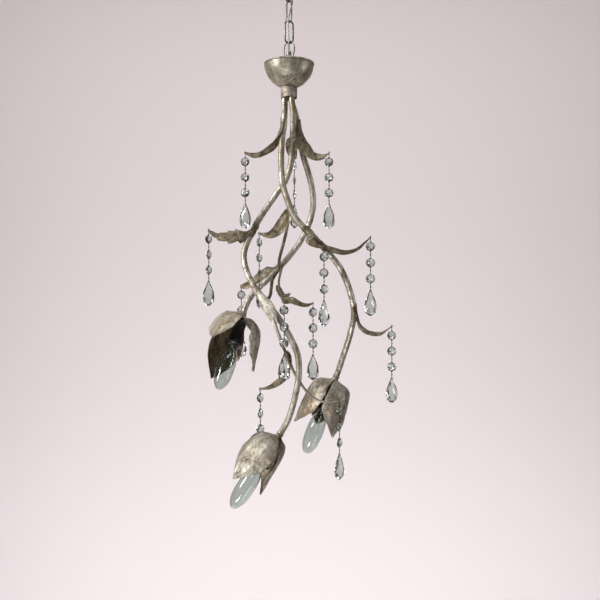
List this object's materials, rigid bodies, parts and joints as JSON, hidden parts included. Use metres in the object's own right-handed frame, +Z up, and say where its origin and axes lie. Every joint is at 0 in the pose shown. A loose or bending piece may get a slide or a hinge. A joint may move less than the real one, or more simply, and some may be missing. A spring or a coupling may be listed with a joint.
{
  "type": "pendant ceiling light",
  "caption": "chain-hung ceiling pendant: twisting tube arms end in sheet-petal flowers round candle bulbs, with crystal strands hung from pointed leaf tips",
  "frame": {"origin": "middle of the ceiling plate's top face, where it meets the ceiling", "axes": "+Z up to the ceiling, -Y toward the viewer, +X to the viewer's right; the lamp hangs below the origin"},
  "size_m": [0.3863, 0.2122, 1.1109],
  "materials": {
    "silver_leaf": "worn silver leaf, satin",
    "aged_leaf": "worn silver leaf over brown, satin",
    "steel": "satin",
    "black_phenolic": "matte",
    "clear_glass": "polished",
    "clear_cable": "gloss",
    "white_nylon": "matte"
  },
  "bodies": {
    "ceiling": {"ceiling_plate": "steel", "ceiling_hook": "steel", "ceiling_rose": "silver_leaf", "supply_flex": "clear_cable"},
    "link_top": {"chain_link_top": "steel"},
    "link_middle": {"chain_link_middle": "steel"},
    "link_bottom": {"chain_link_bottom": "steel"},
    "lamp": {"arm_a": "silver_leaf", "arm_b": "silver_leaf", "arm_c": "silver_leaf", "arm_collar": "silver_leaf", "bract_tendril": "silver_leaf", "branch_leaf_front": "aged_leaf", "branch_leaf_right": "silver_leaf", "canopy_cup": "silver_leaf", "cup_locknut": "steel", "entry_nipple": "steel", "flower_a_lampholder": "black_phenolic", "flower_a_petal_1": "silver_leaf", "flower_a_petal_2": "aged_leaf", "flower_a_petal_3": "silver_leaf", "flower_b_lampholder": "black_phenolic", "flower_b_petal_1": "silver_leaf", "flower_b_petal_2": "aged_leaf", "flower_b_petal_3": "silver_leaf", "flower_c_lampholder": "black_phenolic", "flower_c_petal_1": "silver_leaf", "flower_c_petal_2": "aged_leaf", "flower_c_petal_3": "silver_leaf", "hanging_loop": "steel", "inner_stem": "silver_leaf", "lower_leaf": "aged_leaf", "rear_leaf": "aged_leaf", "right_leaf": "aged_leaf", "right_tendril": "aged_leaf", "serrated_leaf": "aged_leaf", "small_bract": "aged_leaf", "terminal_block": "white_nylon", "top_leaf_back": "aged_leaf", "top_leaf_left": "aged_leaf", "top_leaf_right": "aged_leaf"},
    "bulb_a": {"flower_a_bulb_cap": "steel", "flower_a_bulb_glass": "clear_glass"},
    "bulb_b": {"flower_b_bulb_cap": "steel", "flower_b_bulb_glass": "clear_glass"},
    "bulb_c": {"flower_c_bulb_cap": "steel", "flower_c_bulb_glass": "clear_glass"},
    "strand_top_left": {"strand_top_left": "clear_glass"},
    "strand_top_right": {"strand_top_right": "clear_glass"},
    "strand_top_back": {"strand_top_back": "clear_glass"},
    "strand_serrated_leaf": {"strand_serrated_leaf": "clear_glass"},
    "strand_inner_stem": {"strand_inner_stem": "clear_glass"},
    "strand_rear_leaf": {"strand_rear_leaf": "clear_glass"},
    "strand_branch_front": {"strand_branch_front": "clear_glass"},
    "strand_branch_right": {"strand_branch_right": "clear_glass"},
    "strand_right_tendril": {"strand_right_tendril": "clear_glass"},
    "strand_small_bract": {"strand_small_bract": "clear_glass"},
    "strand_right_leaf": {"strand_right_leaf": "clear_glass"},
    "strand_lower_leaf": {"strand_lower_leaf": "clear_glass"},
    "strand_low_tendril": {"strand_low_tendril": "clear_glass"}
  },
  "joints": [
    {"name": "link_top_swing", "type": "hinge", "parent": "ceiling", "child": "link_top", "pos_m": [0, 0, -0.073], "axis": [0.5, -0.866, 0], "range_deg": [-6, 6], "deforming": ["supply_flex"]},
    {"name": "link_middle_swing", "type": "hinge", "parent": "link_top", "child": "link_middle", "pos_m": [0, 0, -0.11395], "axis": [0.866, 0.5, 0], "range_deg": [-6, 6], "deforming": ["supply_flex"]},
    {"name": "link_bottom_swing", "type": "hinge", "parent": "link_middle", "child": "link_bottom", "pos_m": [0, 0, -0.15515], "axis": [0.5736, -0.8191, 0], "range_deg": [-6, 6], "deforming": ["supply_flex"]},
    {"name": "lamp_swing", "type": "hinge", "parent": "link_bottom", "child": "lamp", "pos_m": [0, 0, -0.19635], "axis": [0.9397, 0.342, 0], "range_deg": [-6, 6], "deforming": ["supply_flex"]},
    {"name": "bulb_a_out", "type": "slide", "parent": "lamp", "child": "bulb_a", "axis": [-0.3606, 0.0498, -0.9314], "range_m": [0, 0.03]},
    {"name": "bulb_b_out", "type": "slide", "parent": "lamp", "child": "bulb_b", "axis": [-0.5408, -0.0001, -0.8411], "range_m": [0, 0.03]},
    {"name": "bulb_c_out", "type": "slide", "parent": "lamp", "child": "bulb_c", "axis": [-0.2404, -0.5011, -0.8313], "range_m": [0, 0.03]},
    {"name": "top_left_swing", "type": "hinge", "parent": "lamp", "child": "strand_top_left", "pos_m": [-0.08767, 0.00201, -0.41532], "axis": [-1, -0.0085, 0], "range_deg": [0, 18]},
    {"name": "top_right_swing", "type": "hinge", "parent": "lamp", "child": "strand_top_right", "pos_m": [0.07997, 0.00187, -0.41588], "axis": [0.9981, 0.0616, 0], "range_deg": [-18, 18]},
    {"name": "top_back_swing", "type": "hinge", "parent": "lamp", "child": "strand_top_back", "pos_m": [0.00987, 0.09287, -0.40665], "axis": [0.0598, 0.9982, 0], "range_deg": [-15, 15]},
    {"name": "serrated_leaf_swing", "type": "hinge", "parent": "lamp", "child": "strand_serrated_leaf", "pos_m": [-0.16114, 0.00366, -0.57009], "axis": [-0.9828, 0.1845, 0], "range_deg": [-18, 18]},
    {"name": "inner_stem_swing", "type": "hinge", "parent": "lamp", "child": "strand_inner_stem", "pos_m": [-0.06018, 0.01211, -0.57604], "axis": [-0.9021, 0.4316, 0], "range_deg": [-14, 10]},
    {"name": "rear_leaf_swing", "type": "hinge", "parent": "lamp", "child": "strand_rear_leaf", "pos_m": [-0.10212, 0.08616, -0.68122], "axis": [-0.9138, 0.4061, 0], "range_deg": [-18, 8]},
    {"name": "branch_front_swing", "type": "hinge", "parent": "lamp", "child": "strand_branch_front", "pos_m": [-0.00787, -0.09139, -0.71161], "axis": [-0.0789, -0.9969, 0], "range_deg": [-12, 12]},
    {"name": "branch_right_swing", "type": "hinge", "parent": "lamp", "child": "strand_branch_right", "pos_m": [0.04753, -0.0259, -0.7162], "axis": [0.9978, -0.0657, 0], "range_deg": [-10, 10]},
    {"name": "right_tendril_swing", "type": "hinge", "parent": "lamp", "child": "strand_right_tendril", "pos_m": [0.15731, -0.06, -0.58941], "axis": [1, 0, 0], "range_deg": [-18, 18]},
    {"name": "small_bract_swing", "type": "hinge", "parent": "lamp", "child": "strand_small_bract", "pos_m": [0.06775, -0.06792, -0.60939], "axis": [0.9981, -0.0619, 0], "range_deg": [-12, 12]},
    {"name": "right_leaf_swing", "type": "hinge", "parent": "lamp", "child": "strand_right_leaf", "pos_m": [0.20297, -0.01999, -0.76198], "axis": [1, -0.0068, 0], "range_deg": [-18, 18]},
    {"name": "lower_leaf_swing", "type": "hinge", "parent": "lamp", "child": "strand_lower_leaf", "pos_m": [-0.05761, 0.00306, -0.88827], "axis": [-0.9326, 0.361, 0], "range_deg": [-18, 3]},
    {"name": "low_tendril_swing", "type": "hinge", "parent": "lamp", "child": "strand_low_tendril", "pos_m": [0.09812, -0.05003, -0.90595], "axis": [0.9999, 0.0104, 0], "range_deg": [-12, 15]}
  ]
}
